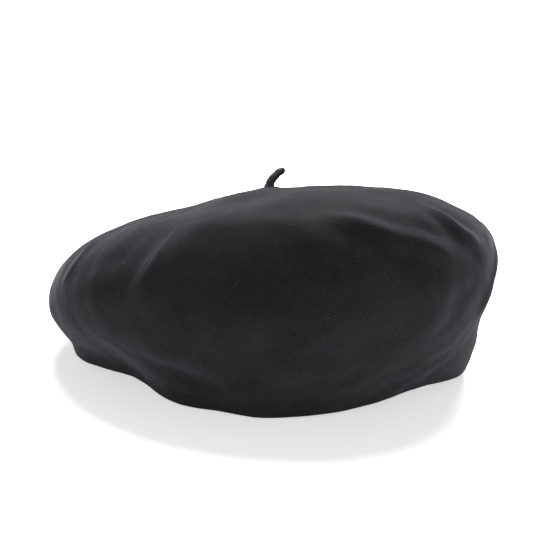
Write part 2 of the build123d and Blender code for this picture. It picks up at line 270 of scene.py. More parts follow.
def fold_rise(fold, places, normals):
    """How far one fold lifts the felt along its normal at these places, in mm."""
    line = rounder([np.array(p, float) for p in fold.points])
    best = np.full(places.shape[:-1], 1e9)
    side = np.zeros_like(best)
    along = np.zeros_like(best)
    lengths = [np.linalg.norm(b - a) for a, b in zip(line, line[1:])]
    total = sum(lengths)
    run = 0.0
    for a, b, length in zip(line, line[1:], lengths):
        heading = (b - a) / length
        away = places - a
        t = np.clip(away @ heading, 0, length)
        gap = away - t[..., None] * heading
        distance = np.linalg.norm(gap, axis=-1)
        left = np.sign((np.cross(normals, heading) * away).sum(-1))
        closer = distance < best
        best = np.where(closer, distance, best)
        side = np.where(closer, left, side)
        along = np.where(closer, (run + t) / total, along)
        run += length
    fade = smooth_step(along / FOLD_ENDS) * smooth_step((1 - along) / FOLD_ENDS)
    bend = CREST_ROUND * fold.width
    crest = np.exp(-(np.sqrt(best**2 + bend**2) - bend) / fold.width)
    dip = np.exp(-(((best - fold.dip_off) / fold.dip_width) ** 2))
    depth = np.where(side > 0, fold.dip_left, fold.dip_right) * smooth_step(best / fold.dip_off)
    return fade * (fold.height * crest - depth * dip)


def uneven(places, size, height, seed):
    """Smooth wandering noise with waves of about this size."""
    rng = np.random.default_rng(seed)
    total = np.zeros(places.shape[:-1])
    for _ in range(WAVES):
        heading = rng.normal(size=3)
        heading *= 2 * np.pi / size * rng.uniform(0.6, 1.4) / np.linalg.norm(heading)
        total += np.sin(places @ heading + rng.uniform(0, 2 * np.pi))
    return height * total / math.sqrt(WAVES / 2)


def hem_shift(turn):
    """Lift and push towards the middle that the hem has at this turn, as vectors in metres."""
    lift = degrees_curve([(d, up) for d, up, _ in HEM_REST], turn)
    push = degrees_curve([(d, inward) for d, _, inward in HEM_REST], turn)
    return MM * np.stack([-push * np.cos(turn), -push * np.sin(turn), lift], -1)


def skin(turn, step, soft=False):
    """Place and CAD normal of the felt's outer surface; soft is for what hangs inside."""
    turn, step = np.broadcast_arrays(np.asarray(turn, float), np.asarray(step, float))
    place = look_up(SKIN, turn, step)
    normal = unit(look_up(SKIN_NORMALS, turn, step))
    here = place / MM
    rise = sum(fold_rise(f, here, normal) * (SOFT_FOLDS if soft else 1) for f in FOLDS)
    if not soft:
        rise = rise + sum(uneven(here, *u) for u in UNEVEN)
    move = np.zeros_like(here)
    for sag in SAGS:
        reach = (((here - sag.place) / sag.reach) ** 2).sum(-1)
        move += np.exp(-reach)[..., None] * np.array(sag.move, float)
    near = np.linalg.norm(here - np.array(ROOT) / MM, axis=-1)
    calm = smooth_step(near / SAG_CLEAR)
    pucker = 0 if soft else PUCKER_HEIGHT * np.exp(-((near / PUCKER_REACH) ** 2))
    move = (move + rise[..., None] * normal) * calm[..., None] + np.asarray(pucker)[..., None] * normal
    low = 1 - smooth_step(here[..., 2] / LIFT_FADES)
    return place + MM * move + low[..., None] * hem_shift(turn), normal


# ---------------- mesh helpers
def disc_places(cells):
    """Turn and reach of a square grid bent into a disc: reach is 0 in the middle and 1 on the rim."""
    side = np.linspace(-1, 1, cells + 1)
    x, y = np.meshgrid(side, side, indexing="ij")
    wide = np.abs(x) > np.abs(y)
    reach = np.where(wide, np.abs(x), np.abs(y))
    with np.errstate(divide="ignore", invalid="ignore"):
        across = np.pi / 4 * np.nan_to_num(y / x) + np.where(x < 0, np.pi, 0)
        along = np.pi / 2 * np.sign(y) - np.pi / 4 * np.nan_to_num(x / y)
    return np.where(wide, across, along) % (2 * np.pi), reach


def make_object(name, verts, faces, material, body="beret"):
    """Smooth-shaded object on a body, with its faces turned outwards."""
    mesh = bpy.data.meshes.new(name)
    mesh.from_pydata([tuple(v) for v in verts], [], faces)
    work = bmesh.new()
    work.from_mesh(mesh)
    bmesh.ops.recalc_face_normals(work, faces=work.faces)
    work.to_mesh(mesh)
    work.free()
    mesh.shade_smooth()
    obj = bpy.data.objects.new(name, mesh)
    bpy.context.scene.collection.objects.link(obj)
    mesh.materials.append(material)
    if body:
        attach(obj, body)
    return obj


def grid_of(rows, columns, wrap=False):
    """Point numbers of a grid; wrap repeats its first column at the end."""
    index = np.arange(rows * columns).reshape(rows, columns)
    return np.concatenate([index, index[:, :1]], 1) if wrap else index


def quads_of(index):
    """Faces between the rows and columns of a grid of point numbers."""
    return np.stack([index[:-1, :-1], index[1:, :-1], index[1:, 1:], index[:-1, 1:]], -1).reshape(-1, 4)


def loops_of(rows, columns, wrap):
    """Edge loops of a grid of points, as indices in order."""
    index = grid_of(rows, columns)
    if wrap:
        return [index[0], index[-1]]
    return [np.concatenate([index[:-1, 0], index[-1, :-1], index[:0:-1, -1], index[0, :0:-1]])]


def shell(name, front, back, material, wrap=False, rounding=2, uv=None, period=None):
    """Closed thin piece with a rounded edge between two grids of points; wrap closes them around."""
    rows, columns = front.shape[:2]
    quads = quads_of(grid_of(rows, columns, wrap))
    count = rows * columns
    verts = [front.reshape(-1, 3), back.reshape(-1, 3)]
    faces = [quads, quads[:, ::-1] + count]
    flat = None if uv is None else [uv.reshape(-1, 2)] * 2
    total = 2 * count
    for loop in loops_of(rows, columns, wrap):
        a, b = verts[0][loop], verts[1][loop]
        middle, half = (a + b) / 2, (a - b) / 2
        thick = np.linalg.norm(half, axis=1, keepdims=True)
        outward = unit(np.cross(np.roll(a, -1, 0) - np.roll(a, 1, 0), half))
        # the edge bulges away from the grid's next row of points
        inside = verts[0][neighbour_of(loop, rows, columns, wrap)] - a
        flip = np.sign((outward * inside).sum(1).mean())
        outward = -outward * (flip if flip else 1.0)
        chain = [loop]
        for k in range(1, rounding + 1):
            bend = math.pi * k / (rounding + 1)
            chain.append(total + np.arange(len(loop)))
            verts.append(middle + half * math.cos(bend) + thick * outward * math.sin(bend))
            if flat is not None:
                flat.append(uv.reshape(-1, 2)[loop])
            total += len(loop)
        chain.append(count + loop)
        for p, q in zip(chain, chain[1:]):
            faces.append(np.stack([p, np.roll(p, -1), np.roll(q, -1), q], 1))
    obj = make_object(name, np.concatenate(verts), np.concatenate(faces).tolist(), material)
    if uv is not None:
        set_uv(obj, np.concatenate(flat), period)
    return obj


def neighbour_of(loop, rows, columns, wrap):
    """For each point of an edge loop, the grid point one step inwards."""
    r, c = np.divmod(loop, columns)
    r = np.clip(r, 1, rows - 2)
    if not wrap:
        c = np.clip(c, 1, columns - 2)
    return r * columns + c


def set_uv(obj, values, period=None):
    """Cloth coordinates in metres, one pair per vertex; period joins a strip that runs right around."""
    mesh = obj.data
    corners = np.zeros(len(mesh.loops), int)
    mesh.loops.foreach_get("vertex_index", corners)
    pairs = values[corners].astype(float)
    if period:
        starts = np.zeros(len(mesh.polygons), int)
        mesh.polygons.foreach_get("loop_start", starts)
        owner = np.searchsorted(starts, np.arange(len(corners)), side="right") - 1
        high = np.maximum.reduceat(pairs[:, 0], starts)
        low = np.minimum.reduceat(pairs[:, 0], starts)
        jumps = (high - low > period / 2)[owner] & (pairs[:, 0] < period / 2)
        pairs[jumps, 0] += period
    layer = mesh.uv_layers.new(name="cloth")
    layer.data.foreach_set("uv", pairs.ravel().astype(np.float32))


def smooth_path(points, count):
    """Evenly spaced points on a smooth curve through the given ones."""
    points = np.array(points, float)
    padded = np.concatenate([[2 * points[0] - points[1]], points, [2 * points[-1] - points[-2]]])
    fine = []
    for i in range(len(points) - 1):
        for f in np.linspace(0, 1, 20, endpoint=False):
            weights = cubic_weights(np.array(f))
            fine.append(sum(w * padded[i + k] for k, w in enumerate(weights)))
    return evenly(np.array(fine + [points[-1]]), count)


def loose_parts(node):
    """Centre, long direction and length of each separate solid in a CAD node."""
    mesh = frame["nodes"][node].data
    keys, parent, home = {}, [], []
    for v in mesh.vertices:
        key = tuple(round(c, 6) for c in v.co)
        if key not in keys:
            keys[key] = len(parent)
            parent.append(len(parent))
        home.append(keys[key])

    def top(i):
        while parent[i] != i:
            parent[i] = parent[parent[i]]
            i = parent[i]
        return i

    for p in mesh.polygons:
        first = top(home[p.vertices[0]])
        for i in p.vertices[1:]:
            parent[top(home[i])] = first
    groups = {}
    for key, i in keys.items():
        groups.setdefault(top(i), []).append(key)
    parts = []
    for group in groups.values():
        group = np.array(group)
        centre = (group.min(0) + group.max(0)) / 2
        heading = np.linalg.svd(group - group.mean(0), full_matrices=False)[2][0]
        reach = (group - centre) @ heading
        parts.append((centre, heading, reach.max() - reach.min()))
    return parts


# ---------------- materials
class Paint:
    """A node material under construction: its Principled shader and short ways to add nodes."""

    def __init__(self, name):
        self.material = bpy.data.materials.new(name)
        self.material.use_nodes = True
        self.nodes = self.material.node_tree.nodes
        self.links = self.material.node_tree.links
        self.shader = self.nodes["Principled BSDF"]

    def put(self, socket, value):
        if isinstance(value, bpy.types.NodeSocket):
            self.links.new(value, socket)
        elif isinstance(value, tuple) and len(value) == 3 and len(socket.default_value) == 4:
            socket.default_value = (*value, 1)
        else:
            socket.default_value = value

    def set(self, **values):
        for name, value in values.items():
            self.put(self.shader.inputs[name.replace("_", " ")], value)

    def place(self, stretch=None, cloth=False):
        if cloth:
            node = self.nodes.new("ShaderNodeUVMap")
            node.uv_map = "cloth"
            source = node.outputs[0]
        else:
            source = self.nodes.new("ShaderNodeTexCoord").outputs["Object"]
        if stretch:
            mapping = self.nodes.new("ShaderNodeMapping")
            mapping.inputs["Scale"].default_value = stretch
            self.links.new(source, mapping.inputs["Vector"])
            source = mapping.outputs["Vector"]
        return source

    def texture(self, kind, place, **inputs):
        """Texture node of this kind that reads from a place."""
        node = self.nodes.new("ShaderNodeTex" + kind)
        self.links.new(place, node.inputs["Vector"])
        for name, value in inputs.items():
            node.inputs[name].default_value = value
        return node

    def noise(self, scale, detail=4.0, rough=0.5, stretch=None, cloth=False):
        place = self.place(stretch, cloth)
        return self.texture("Noise", place, Scale=scale, Detail=detail, Roughness=rough).outputs["Fac"]

    def waves(self, scale, direction):
        node = self.texture("Wave", self.place(cloth=True), Scale=scale)
        node.wave_type = "BANDS"
        node.bands_direction = direction
        return node.outputs["Fac"]

    def cells(self, scale):
        node = self.texture("Voronoi", self.place(), Scale=scale)
        node.feature = "DISTANCE_TO_EDGE"
        return node.outputs["Distance"]

    def ramp(self, source, *stops):
        node = self.nodes.new("ShaderNodeValToRGB")
        elements = node.color_ramp.elements
        while len(elements) < len(stops):
            elements.new(0.5)
        for element, (place, colour) in zip(elements, stops):
            element.position = place
            element.color = (*colour, 1) if isinstance(colour, tuple) else (colour, colour, colour, 1)
        self.links.new(source, node.inputs["Fac"])
        return node.outputs["Color"]

    def mix(self, how, first, second):
        """Two colours put together in full, by ADD or MULTIPLY."""
        node = self.nodes.new("ShaderNodeMix")
        node.data_type = "RGBA"
        node.blend_type = how
        for number, value in ((0, 1.0), (6, first), (7, second)):
            self.put(node.inputs[number], value)
        return node.outputs[2]

    def math(self, operation, first, second=0.0):
        node = self.nodes.new("ShaderNodeMath")
        node.operation = operation
        self.put(node.inputs[0], first)
        self.put(node.inputs[1], second)
        return node.outputs[0]

    def bump(self, *layers):
        """Stacks (height, strength, distance in mm) layers into the shader's normal."""
        normal = None
        for height, strength, distance in layers:
            node = self.nodes.new("ShaderNodeBump")
            node.inputs["Strength"].default_value = strength
            node.inputs["Distance"].default_value = distance * MM
            self.links.new(height, node.inputs["Height"])
            if normal:
                self.links.new(normal, node.inputs["Normal"])
            normal = node.outputs["Normal"]
        self.links.new(normal, self.shader.inputs["Normal"])


FELT_DARK, FELT_LIGHT = 0.0106, 0.0164  # of the clouded wool
STALK_PAINTED_SHEEN = 8.0  # how much paler the stalk's felt is painted all over: painted sheen for the light the stalk catches


def felt_paint(name="felt", pale=1.0):
    """Charcoal fulled wool: clouded colour, short pale fibres, a soft bloom at its edges."""
    p = Paint(name)
    cloud, nap, fibre = p.noise(40, 5.0), p.noise(1500, 3.0), p.noise(3600, 2.0)
    lint = p.noise(420, 1.0, 0.3, stretch=(1, 1, 3))
    # pale lifts the whole colour; the stalk's copy of this felt uses it as painted sheen
    base = p.ramp(cloud, (0.32, FELT_DARK * pale), (0.70, FELT_LIGHT * pale))
    base = p.mix("MULTIPLY", base, (0.94, 0.93, 1.10))
    colour = p.mix("MULTIPLY", base, p.ramp(nap, (0.34, 0.58), (0.68, 1.46)))
    colour = p.mix("ADD", colour, p.ramp(fibre, (0.60, 0.0), (0.80, 0.022 * pale)))
    colour = p.mix("ADD", colour, p.ramp(lint, (0.82, 0.0), (0.87, 0.08)))
    p.set(Base_Color=colour, Roughness=0.95, Specular_IOR_Level=0.12)
    p.set(Sheen_Weight=0.14, Sheen_Roughness=0.30, Sheen_Tint=(0.84, 0.85, 1.0))
    p.bump((cloud, 0.2, 1.2), (nap, 0.9, 0.40), (fibre, 0.6, 0.12))
    return p.material


def satin_paint():
    """Black satin: long floats along the warp, a streaky gloss."""
    p = Paint("satin")
    warp = p.waves(2600, "X")
    weft = p.waves(1300, "Y")
    streak = p.noise(900, 3.0, stretch=(1, 0.04, 1), cloth=True)
    cloud = p.noise(60, 3.0)
    base = p.ramp(streak, (0.30, (0.010, 0.010, 0.012)), (0.70, (0.024, 0.024, 0.028)))
    colour = p.mix("MULTIPLY", base, p.ramp(weft, (0.0, 0.82), (1.0, 1.1)))
    rough = p.ramp(cloud, (0.3, 0.30), (0.7, 0.40))
    p.set(Base_Color=colour, Roughness=rough, Specular_IOR_Level=0.6, Anisotropic=0.55)
    p.set(Sheen_Weight=0.08, Sheen_Roughness=0.3, Sheen_Tint=(0.85, 0.87, 1.0))
    p.bump((streak, 0.25, 0.06), (warp, 0.35, 0.05), (weft, 0.3, 0.04))
    return p.material


def leather_paint():
    """Dark brown-black leather with pebbled grain, fine creases and lighter worn spots."""
    p = Paint("leather")
    pebble = p.cells(1100)
    coarse = p.cells(420)
    crease = p.noise(160, 6.0, 0.6, stretch=(1, 1, 0.35))
    wear = p.noise(38, 4.0)
    base = p.ramp(wear, (0.35, (0.020, 0.015, 0.013)), (0.72, (0.046, 0.035, 0.029)))
    colour = p.mix("MULTIPLY", base, p.ramp(pebble, (0.0, 0.45), (0.25, 1.0)))
    rough = p.ramp(wear, (0.3, 0.36), (0.75, 0.55))
    p.set(Base_Color=colour, Roughness=rough, Specular_IOR_Level=0.5)
    p.bump((crease, 0.35, 0.4), (coarse, 0.35, 0.12), (pebble, 0.5, 0.07))
    return p.material


def thread_paint():
    """Black twisted thread; the ply is in the mesh, the fibres are here."""
    p = Paint("thread")
    fibre = p.noise(5200, 2.0)
    colour = p.ramp(fibre, (0.35, (0.035, 0.035, 0.038)), (0.7, (0.110, 0.110, 0.118)))
    p.set(Base_Color=colour, Roughness=0.6, Specular_IOR_Level=0.4, Sheen_Weight=0.2, Sheen_Roughness=0.4)
    p.bump((fibre, 0.5, 0.05))
    return p.material


def ribbon_paint():
    """Black ribbed ribbon with a plain selvedge."""
    p = Paint("ribbon")
    ribs = p.waves(420, "X")
    fine = p.noise(3000, 2.0, cloth=True)
    base = p.ramp(ribs, (0.0, (0.008, 0.008, 0.009)), (1.0, (0.034, 0.034, 0.038)))
    colour = p.mix("MULTIPLY", base, p.ramp(fine, (0.3, 0.7), (0.7, 1.3)))
    p.set(Base_Color=colour, Roughness=0.5, Specular_IOR_Level=0.45, Sheen_Weight=0.15, Sheen_Roughness=0.35)
    p.bump((ribs, 0.8, 0.2), (fine, 0.3, 0.05))
    return p.material


def label_paint():
    """Plain woven label tape, off-white, slightly soiled."""
    p = Paint("label_cloth")
    warp, weft = p.waves(900, "X"), p.waves(1100, "Y")
    soil = p.noise(120, 4.0)
    base = p.ramp(soil, (0.3, (0.60, 0.57, 0.50)), (0.7, (0.76, 0.74, 0.68)))
    weave = p.math("MULTIPLY", warp, weft)
    colour = p.mix("MULTIPLY", base, p.ramp(weave, (0.0, 0.80), (0.8, 1.05)))
    p.set(Base_Color=colour, Roughness=0.7, Specular_IOR_Level=0.3, Sheen_Weight=0.1, Sheen_Roughness=0.4)
    p.bump((weave, 0.6, 0.12))
    return p.material


def film_paint():
    """Clear vinyl with faint waves and a little haze."""
    p = Paint("clear_film")
    haze, wave = p.noise(90, 3.0), p.noise(45, 2.0)
    colour = p.ramp(haze, (0.3, (0.66, 0.69, 0.71)), (0.7, (0.85, 0.87, 0.88)))
    rough = p.ramp(haze, (0.3, 0.08), (0.75, 0.22))
    p.set(Base_Color=colour, Roughness=rough, Alpha=0.16, Specular_IOR_Level=0.7)
    p.bump((wave, 0.4, 1.2))
    return p.material


# the stalk gets a paler copy of the felt: painted sheen
FELT, STALK_FELT_PAINTED_SHEEN = felt_paint(), felt_paint("stalk_felt_painted_sheen", STALK_PAINTED_SHEEN)
SATIN, LEATHER, THREAD = satin_paint(), leather_paint(), thread_paint()
RIBBON_CLOTH, LABEL_CLOTH, FILM = ribbon_paint(), label_paint(), film_paint()

# ---------------- felt crown
FELT_THICK = 2.6 * MM
HEM_START = 0.0085  # share of the wall's height that the hem's rounding takes
HEM_ROUNDING = 6
CROWN_CELLS = 240

turn, reach = disc_places(CROWN_CELLS)
outer, outward = skin(turn, HEM_START + (1 - HEM_START) * (1 - reach))
crown = shell("felt_crown", outer, outer - FELT_THICK * outward, FELT, rounding=HEM_ROUNDING)
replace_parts(crown, "felt_shell")

# ---------------- stalk
# mm from the joint; then share of the length and radius in mm
STALK_PATH = [
    (-0.6, -0.1, -2.4), (-0.4, 0, -0.6), (0.7, 0.4, 2.6), (2.7, 0.8, 5.4), (4.8, 1.0, 7.5), (5.8, 1.1, 8.2),
]  # fmt: skip
STALK_RADII = [(0, 2.8), (0.12, 2.65), (0.25, 2.4), (0.4, 2.25), (0.75, 2.1), (0.92, 2.05), (1.0, 1.9)]
STALK_RINGS = 48
STALK_SIDES = 40
TIP_RINGS = 7
STALK_LUMPS = [(3.2, 0.10, 11), (1.1, 0.05, 12)]  # like UNEVEN


def build_stalk():
    path = smooth_path([np.array(ROOT) + np.array(p) * MM for p in STALK_PATH], STALK_RINGS)
    along = unit(np.gradient(path, axis=0))
    shares = np.linspace(0, 1, STALK_RINGS)
    radii = np.interp(shares, *zip(*STALK_RADII)) * MM
    tip, tip_radius, tip_along = path[-1], radii[-1], along[-1]
    for k in range(1, TIP_RINGS):
        bend = math.pi / 2 * k / TIP_RINGS
        path = np.vstack([path, tip + tip_along * tip_radius * math.sin(bend)])
        along = np.vstack([along, tip_along])
        radii = np.append(radii, tip_radius * math.cos(bend))
    side = unit(np.cross(along, [0, 1.0, 0]))
    other = np.cross(along, side)
    angle = np.linspace(0, 2 * np.pi, STALK_SIDES, endpoint=False)
    ring = np.cos(angle)[None, :, None] * side[:, None] + np.sin(angle)[None, :, None] * other[:, None]
    points = path[:, None] + radii[:, None, None] * ring
    rough = sum(uneven(points / MM, *lump) for lump in STALK_LUMPS)
    points = points + (rough * MM)[..., None] * ring
    index = grid_of(len(path), STALK_SIDES, wrap=True)
    verts = np.vstack([points.reshape(-1, 3), path[0], tip + tip_along * tip_radius])
    low, high = len(verts) - 2, len(verts) - 1
    caps = []
    for k in range(STALK_SIDES):
        caps.append([low, int(index[0, k + 1]), int(index[0, k])])
        caps.append([high, int(index[-1, k]), int(index[-1, k + 1])])
    stalk = make_object("felt_stalk", verts, quads_of(index).tolist() + caps, STALK_FELT_PAINTED_SHEEN, body=None)
    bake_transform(stalk)
    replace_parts(stalk, "stalk")


build_stalk()

# ---------------- thread
THREAD_SIDES = 8
THREAD_RINGS = 11
PLY_DEPTH = 0.14  # share of the radius by which the plies stand out
PLY_TURN = 3.2  # radians of twist per mm
ARCH = 0.9  # how far a stitch's middle stands above its ends, in thread radii
SINK = 0.45  # how deep its ends lie, in thread radii


def threads(name, spots, radius, node):
    """One object of bent twisted stitches in place of a node; a spot is (centre, along, outward, length)."""
    angle = np.linspace(0, 2 * np.pi, THREAD_SIDES, endpoint=False)
    t = np.linspace(-1, 1, THREAD_RINGS)
    taper = np.sqrt(np.maximum(1 - np.abs(t) ** 5, 0.02))
    verts, faces = [], []
    index = grid_of(THREAD_RINGS, THREAD_SIDES)
    quads = quads_of(grid_of(THREAD_RINGS, THREAD_SIDES, wrap=True))
    for centre, along, outward, length in spots:
        along = unit(along)
        side = unit(np.cross(outward, along))
        out = np.cross(along, side)
        line = centre + t[:, None] * along * length / 2 + ((1 - t**2) * ARCH - SINK)[:, None] * out * radius
        twist = PLY_TURN * t[:, None] * length / 2 / MM
        thick = radius * taper[:, None] * (1 + PLY_DEPTH * np.cos(2 * (angle[None] + twist)))
        ring = np.cos(angle)[None, :, None] * side + np.sin(angle)[None, :, None] * out
        start = len(verts) * THREAD_RINGS * THREAD_SIDES
        verts.append((line[:, None] + thick[..., None] * ring).reshape(-1, 3))
        faces += (quads + start).tolist()
        faces.append((index[0] + start).tolist())
        faces.append((index[-1] + start)[::-1].tolist())
    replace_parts(make_object(name, np.concatenate(verts), faces, THREAD), node)


# ---------------- lining
LINING_AT = 3.5 * MM  # satin's outer face, from the felt's outer surface
SATIN_THICK = 0.35 * MM
SIDE_COLUMNS = 720
SIDE_ROWS = 64
TOP_CELLS = 150
SIDE_START = 0.02  # share of the way up the skin where the satin begins
SEAM_SMOOTH = 9  # stitches that the seam's line is averaged over
SEAM_GAP = 0.002  # between the two pieces of satin, as a share of the way up the skin
CLOTH_GIRTH = 2 * math.pi * 0.100  # the side strip's weave: its length around and its height
CLOTH_WALL = 0.093
GATHERS = 118  # small pleats around the seam
BAND_GATHERS = 74


def seam_curve():
    """Step of the crown seam for each turn, from the CAD stitches that lie across it."""
    turns, steps = [], []
    flat = (SKIN - LINING_AT * SKIN_NORMALS).reshape(-1, 3)
    for centre, _, _ in loose_parts("lining_seam_stitches"):
        k = int(((flat - centre) ** 2).sum(1).argmin())
        turns.append(2 * np.pi * (k // STEPS) / TURNS)
        steps.append((k % STEPS) / (STEPS - 1))
    order = np.argsort(turns)
    turns, steps = np.array(turns)[order], np.array(steps)[order]
    half = SEAM_SMOOTH // 2
    steps = sum(np.roll(steps, k) for k in range(-half, half + 1)) / SEAM_SMOOTH
    return turns, steps


SEAM_TURNS, SEAM_STEPS = seam_curve()


def seam_step(turn):
    return np.interp(turn, SEAM_TURNS, SEAM_STEPS, period=2 * np.pi)


def hang(turn, share):
    """Inward hang of the side strip in metres: pleats at its sewn edges, soft folds between."""
    wander = 0.35 * np.sin(3 * turn + 0.6) + 0.25 * np.sin(7 * turn + 2.0)
    top_pleat = 0.5 + 0.5 * np.sin(GATHERS * turn + 5 * wander + 1.5 * np.sin(5 * share))
    low_pleat = 0.5 + 0.5 * np.sin(BAND_GATHERS * turn + 4 * wander)
    swing = 0.5 + 0.5 * np.sin(17 * turn + 3.2 * share + 2 * wander)
    ripple = 0.5 + 0.5 * np.sin(41 * turn - 4.1 * share + 3 * wander)
    belly = np.sin(np.pi * np.clip(share, 0, 1)) ** 0.8
    near_top = np.exp(-(1 - share) / 0.16)
    near_low = np.exp(-np.abs(share - 0.18) / 0.16)
    depth = 1.1 * top_pleat * near_top + 0.8 * low_pleat * near_low * belly
    return MM * (depth + belly * (2.2 * swing + 1.1 * ripple + 1.2))


def dish(turn, reach):
    """Inward hang of the disc in metres: short puckers at its seam, a slack middle."""
    pucker = 0.5 + 0.5 * np.sin(GATHERS * turn + 1.6 * np.sin(3 * turn + 0.6))
    calm = smooth_step(reach / 0.45)
    slack = 0.5 + 0.5 * calm * np.sin(5 * turn + 6 * reach)
    ripple = calm * (0.5 + 0.5 * np.sin(23 * turn + 9 * reach))
    middle = 1 - reach**2
    seam = 0.7 * pucker * np.exp(-(1 - reach) / 0.07)
    return MM * (seam + middle * (0.9 + 0.7 * slack) + 0.3 * ripple * reach * middle)


def lining_layer(turn, step, depth):
    place, outward = skin(turn, step, soft=True)
    face = place - (LINING_AT + depth)[..., None] * outward
    return face, face - SATIN_THICK * outward


turn = np.linspace(0, 2 * np.pi, SIDE_COLUMNS, endpoint=False)[None, :] + np.zeros((SIDE_ROWS, 1))
share = np.linspace(0, 1, SIDE_ROWS)[:, None] + np.zeros((1, SIDE_COLUMNS))
step = SIDE_START + share * (seam_step(turn) - SEAM_GAP - SIDE_START)
front, back = lining_layer(turn, step, hang(turn, share))
uv = np.stack([turn / (2 * np.pi) * CLOTH_GIRTH, share * CLOTH_WALL], -1)
lining_side = shell("satin_side", front, back, SATIN, wrap=True, uv=uv, period=CLOTH_GIRTH)
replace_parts(lining_side, "lining_side")

turn, reach = disc_places(TOP_CELLS)
step = 1 - reach * (1 - seam_step(turn) - SEAM_GAP)
front, back = lining_layer(turn, step, dish(turn, reach))
lining_top = shell("satin_top", front, back, SATIN, uv=front[..., :2])
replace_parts(lining_top, "lining_top")


SEAM_THREAD = 0.28 * MM
SEAM_STANDS = 0.35 * MM  # towards the head, from the satin's edges
side_tree, top_tree = tree_of(lining_side.data), tree_of(lining_top.data)


def seam_spots():
    spots = []
    for centre, along, length in loose_parts("lining_seam_stitches"):
        spot = Vector(centre)
        a, b = top_tree.find_nearest(spot)[0], side_tree.find_nearest(spot)[0]
        middle = (a + b) / 2
        out = (MIDDLE - middle).normalized()
        spots.append((np.array(middle + out * SEAM_STANDS), along, np.array(out), length))
    return spots


threads("lining_seam_thread", seam_spots(), SEAM_THREAD, "lining_seam_stitches")

# ---------------- clear film under the crown
FILM_THICK = 0.3 * MM
FILM_CELLS = 90
FILM_AWAY = 0.5 * MM  # from the satin
FILM_THREAD = 0.25 * MM
FILM_SMOOTH = 12  # passes that let the film bridge the satin's small folds
BELOW = 0.02  # height from which rays go up to the lining
film_low, film_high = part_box("sweat_shield")
film_middle = (film_low + film_high) / 2
film_half_w, film_half_d = (film_high.x - film_low.x) / 2, (film_high.y - film_low.y) / 2


def diamond_reach(turn):
    """Distance from the film's middle to its rounded diamond edge."""
    power = 1.18  # 1 is a sharp diamond, 2 an ellipse
    c, s = np.abs(np.cos(turn)), np.abs(np.sin(turn))
    return ((c / film_half_w) ** power + (s / film_half_d) ** power) ** (-1 / power)


def under_satin(x, y):
    """Lowest point of the satin disc above this place."""
    return top_tree.ray_cast(Vector((x, y, BELOW)), UP)[0].z


turn, reach = disc_places(FILM_CELLS)
edge = diamond_reach(turn)
x, y = film_middle.x + reach * edge * np.cos(turn), film_middle.y + reach * edge * np.sin(turn)
z = np.vectorize(under_satin)(x, y) - FILM_AWAY
for _ in range(FILM_SMOOTH):
    z[1:-1, 1:-1] = 0.2 * (z[1:-1, 1:-1] + z[:-2, 1:-1] + z[2:, 1:-1] + z[1:-1, :-2] + z[1:-1, 2:])
upper = np.stack([x, y, z], -1)
lower = upper - np.array([0, 0, FILM_THICK])
film = shell("clear_film", upper, lower, FILM)
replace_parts(film, "sweat_shield")
film_tree = tree_of(film.data)


def film_spots():
    spots = []
    for centre, along, length in loose_parts("shield_stitches"):
        x, y = centre[:2]
        hit = film_tree.ray_cast(Vector((x, y, BELOW)), UP)[0]
        if hit is None:
            hit = Vector((x, y, under_satin(x, y) - FILM_AWAY - FILM_THICK))
        spots.append((np.array(hit) - np.array([0, 0, 0.1 * MM]), along, np.array([0, 0, -1.0]), length))
    return spots


threads("film_thread", film_spots(), FILM_THREAD, "shield_stitches")

# ---------------- leather band
BAND_COLUMNS = 720
BAND_ROWS = 40
band_low, band_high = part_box("sweatband")
band_tree = tree_of(frame["nodes"]["sweatband"].data)
BAND_THICK = 0.9 * MM
BUTT_HALF = 0.25 * MM  # half the gap between the leather's ends
BEAD = 0.55 * MM  # how much thicker the turned top edge is
BEAD_HIGH = 2.2 * MM
BAND_WAVE = 0.5 * MM
CAD_GAP_HALF = 1.0 * MM  # half the CAD band's own gap, which rays would slip through
END_RUN = 0.08  # metres that the leather's ends run on for each radian
SEWN_HIGH = 3.5 * MM  # the row of stitches and the groove it pulls
SEWN_WIDE = 0.9 * MM
SEWN_DEEP = 0.18 * MM
BAND_LOOK = 6 * MM  # how far inside the band rays start


def band_face(turn):
    """Inner face of the CAD band at these turns, in plan."""
    points = np.zeros((*np.shape(turn), 2))
    for place in np.ndindex(np.shape(turn)):
        out = Vector((math.cos(turn[place]), math.sin(turn[place]), 0))
        start = Vector((MIDDLE.x, MIDDLE.y, (band_low.z + band_high.z) / 2))
        points[place] = band_tree.ray_cast(start, out)[0].xy
    return points


back_turn = math.atan2(band_high.y - MIDDLE.y, (band_low.x + band_high.x) / 2 - MIDDLE.x)
butt = BUTT_HALF / (band_high.y - MIDDLE.y)
gap_turn = CAD_GAP_HALF / (band_high.y - MIDDLE.y)
BAND_TURNS = back_turn + np.linspace(gap_turn, 2 * np.pi - gap_turn, BAND_COLUMNS)
plan = band_face(BAND_TURNS)
ends = back_turn + np.array([butt, 2 * np.pi - butt])
BAND_TURNS = np.concatenate([ends[:1], BAND_TURNS, ends[1:]])
run_on = np.array([(gap_turn - butt) * END_RUN, 0])
plan = np.concatenate([plan[:1] - run_on, plan, plan[-1:] + run_on])
heights = np.linspace(band_low.z, band_high.z, BAND_ROWS)
plan_out = unit(np.stack([np.gradient(plan[:, 1]), -np.gradient(plan[:, 0])], 1))
if (plan_out * (plan - np.array(MIDDLE.xy))).sum() < 0:
    plan_out = -plan_out
turn = BAND_TURNS[None, :] + np.zeros((BAND_ROWS, 1))
high = (heights - band_low.z)[:, None] / (band_high.z - band_low.z) + np.zeros((1, len(BAND_TURNS)))
sway = np.sin(11 * turn + 0.8) + 0.6 * np.sin(23 * turn + 2 * high) + 0.4 * np.sin(5 * turn)
sway = high**1.5 * BAND_WAVE * sway
